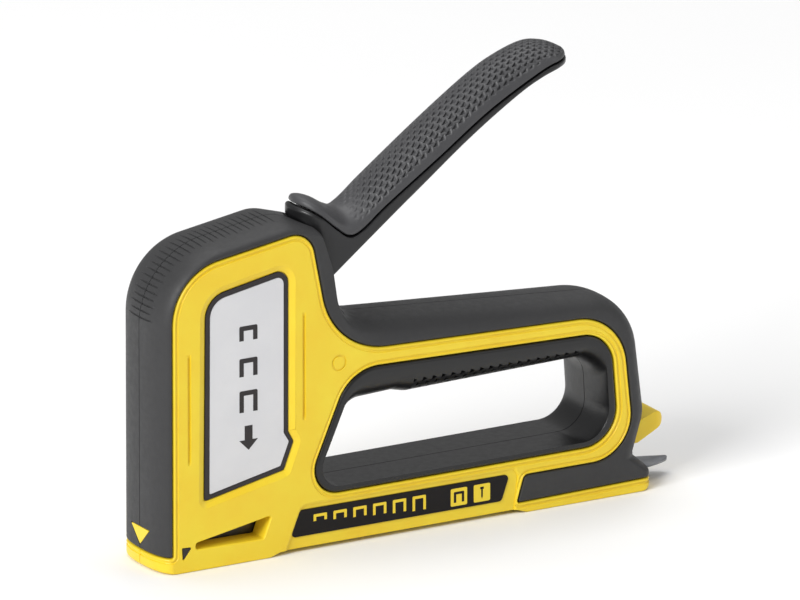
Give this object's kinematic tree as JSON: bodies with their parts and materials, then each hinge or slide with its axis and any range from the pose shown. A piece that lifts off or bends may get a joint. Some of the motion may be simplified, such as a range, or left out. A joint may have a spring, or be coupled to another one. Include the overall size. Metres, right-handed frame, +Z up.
{
  "type": "staple gun",
  "caption": "Hand staple gun: yellow and black body with a hand hole, squeeze lever on top, inner striking mechanism and rear-loading magazine.",
  "frame": {"origin": "middle of the overall length and width, on the plane that the nose and the foot rest on", "axes": "+X from the nose to the rear, +Z up, the operator's left side at -Y"},
  "size_m": [0.2056, 0.03, 0.1612],
  "materials": {
    "yellow_plastic": "fine satin moulded plastic",
    "black_rubber": "fine grained soft overmould",
    "black_plastic": "satin moulded plastic",
    "label_silver": "satin silver label",
    "steel": "plated sheet steel",
    "spring_steel": "drawn wire"
  },
  "bodies": {
    "body": {"left_shell": "yellow_plastic", "right_shell": "yellow_plastic", "front_marker": "yellow_plastic", "left_overmould": "black_rubber", "right_overmould": "black_rubber", "left_hole_liner": "black_rubber", "right_hole_liner": "black_rubber", "bumper": "black_rubber", "left_label_frame": "black_plastic", "right_label_frame": "black_plastic", "left_name_strip": "black_plastic", "right_name_strip": "black_plastic", "left_marker": "black_plastic", "right_marker": "black_plastic", "left_label_plate": "label_silver", "right_label_plate": "label_silver", "nose_plate": "steel", "spring_cap": "steel", "lever_pivot_pin": "steel", "magazine_channel": "steel", "staple_rail": "steel", "staple_lifter": "steel", "body_screw_1": "steel", "body_screw_2": "steel", "body_screw_3": "steel", "body_screw_4": "steel", "body_screw_5": "steel", "drive_spring": "spring_steel"},
    "lever": {"lever_core": "black_plastic", "lever_grip": "black_rubber", "left_lift_arm": "steel", "right_lift_arm": "steel"},
    "striker": {"plunger": "steel", "driver_blade": "steel"},
    "pusher_unit": {"rear_cap": "black_plastic", "pusher_rod": "steel", "latch_pin": "steel", "pusher_spring": "spring_steel"},
    "pusher": {"staple_pusher": "steel"},
    "latch": {"magazine_latch": "yellow_plastic"}
  },
  "joints": [
    {"name": "lever_swing", "type": "hinge", "parent": "body", "child": "lever", "pos_m": [-0.0498, 0, 0.099], "axis": [0, 1, 0], "range_deg": [0, 37], "stiffness_Nm_per_rad": 0.8, "springref_deg": -20.05},
    {"name": "striker_lift", "type": "slide", "parent": "body", "child": "striker", "axis": [0, 0, 1], "range_m": [0, 0.018], "stiffness_N_per_m": 1500, "springref_m": -0.008, "deforming": ["drive_spring"]},
    {"name": "magazine_slide", "type": "slide", "parent": "body", "child": "pusher_unit", "axis": [1, 0, 0], "range_m": [0, 0.09]},
    {"name": "pusher_feed", "type": "slide", "parent": "pusher_unit", "child": "pusher", "axis": [1, 0, 0], "range_m": [0, 0.1], "stiffness_N_per_m": 40, "springref_m": -0.05, "deforming": ["pusher_spring"]},
    {"name": "latch_press", "type": "hinge", "parent": "pusher_unit", "child": "latch", "pos_m": [0.0786, 0, 0.0172], "axis": [0, 1, 0], "range_deg": [0, 6], "stiffness_Nm_per_rad": 0.3, "springref_deg": -5.73}
  ],
  "couplings": [
    {"joint": "striker_lift", "follows": "lever_swing", "m_per_rad": 0.0275}
  ]
}
